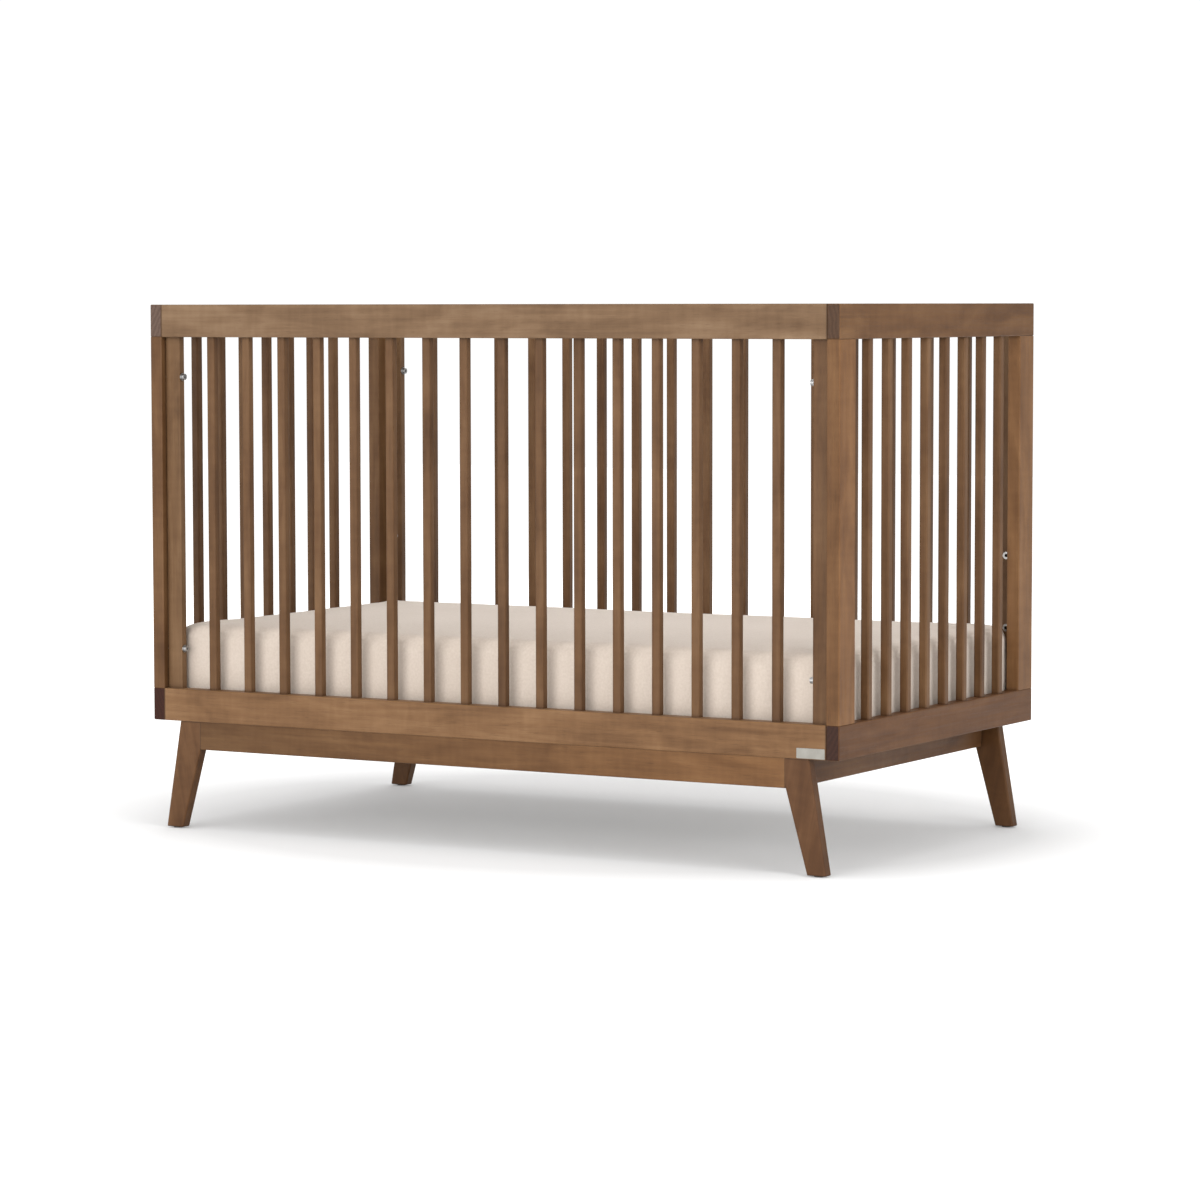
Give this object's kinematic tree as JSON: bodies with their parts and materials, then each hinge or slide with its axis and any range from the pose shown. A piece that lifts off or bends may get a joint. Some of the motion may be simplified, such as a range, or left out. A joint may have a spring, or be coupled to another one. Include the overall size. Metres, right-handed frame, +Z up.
{
  "type": "baby crib",
  "caption": "Full-size wooden baby crib with slatted fixed sides, splayed tapered legs, and a sheeted mattress on a steel support set at different heights.",
  "frame": {"origin": "on the floor under the middle of the crib, at the level of the foot glides' undersides", "axes": "+X along the length, towards the end with the blank plate; -Y is the front; +Z up"},
  "size_m": [1.382, 0.7644, 0.94],
  "materials": {
    "frame_wood": "satin",
    "slat_wood": "satin",
    "dowel_wood": "matte",
    "sheet_fabric": "matte",
    "zinc_steel": "satin",
    "coated_steel": "satin",
    "glide_plastic": "matte",
    "plate": "satin"
  },
  "bodies": {
    "frame": {"apron_dowels": "dowel_wood", "back_apron": "frame_wood", "back_bottom_rail": "frame_wood", "back_left_leg": "frame_wood", "back_left_stile": "frame_wood", "back_right_leg": "frame_wood", "back_right_stile": "frame_wood", "back_slats": "slat_wood", "back_top_rail": "frame_wood", "base_bolts": "zinc_steel", "base_brackets": "zinc_steel", "blank_plate": "plate", "bracket_screws": "zinc_steel", "foot_glides": "glide_plastic", "front_apron": "frame_wood", "front_bottom_rail": "frame_wood", "front_left_leg": "frame_wood", "front_left_stile": "frame_wood", "front_right_leg": "frame_wood", "front_right_stile": "frame_wood", "front_slats": "slat_wood", "front_top_rail": "frame_wood", "height_inserts": "zinc_steel", "left_apron": "frame_wood", "left_back_stile": "frame_wood", "left_bottom_rail": "frame_wood", "left_front_stile": "frame_wood", "left_slats": "slat_wood", "left_top_rail": "frame_wood", "panel_bolts": "zinc_steel", "panel_inserts": "zinc_steel", "panel_washers": "zinc_steel", "rail_dowels": "dowel_wood", "right_apron": "frame_wood", "right_back_stile": "frame_wood", "right_bottom_rail": "frame_wood", "right_front_stile": "frame_wood", "right_slats": "slat_wood", "right_top_rail": "frame_wood", "support_bolts": "zinc_steel"},
    "support": {"support_back_angle": "coated_steel", "support_front_angle": "coated_steel", "support_hanger_back_left": "coated_steel", "support_hanger_back_right": "coated_steel", "support_hanger_front_left": "coated_steel", "support_hanger_front_right": "coated_steel", "support_left_angle": "coated_steel", "support_right_angle": "coated_steel", "support_rivets": "coated_steel", "support_spine": "coated_steel", "support_strips": "coated_steel"},
    "mattress": {"mattress": "sheet_fabric"}
  },
  "joints": [
    {"name": "support_height", "type": "slide", "parent": "frame", "child": "support", "axis": [0, 0, 1], "range_m": [0, 0.259]},
    {"name": "mattress_lift", "type": "slide", "parent": "support", "child": "mattress", "axis": [0, 0, 1], "range_m": [0, 0.75]}
  ]
}
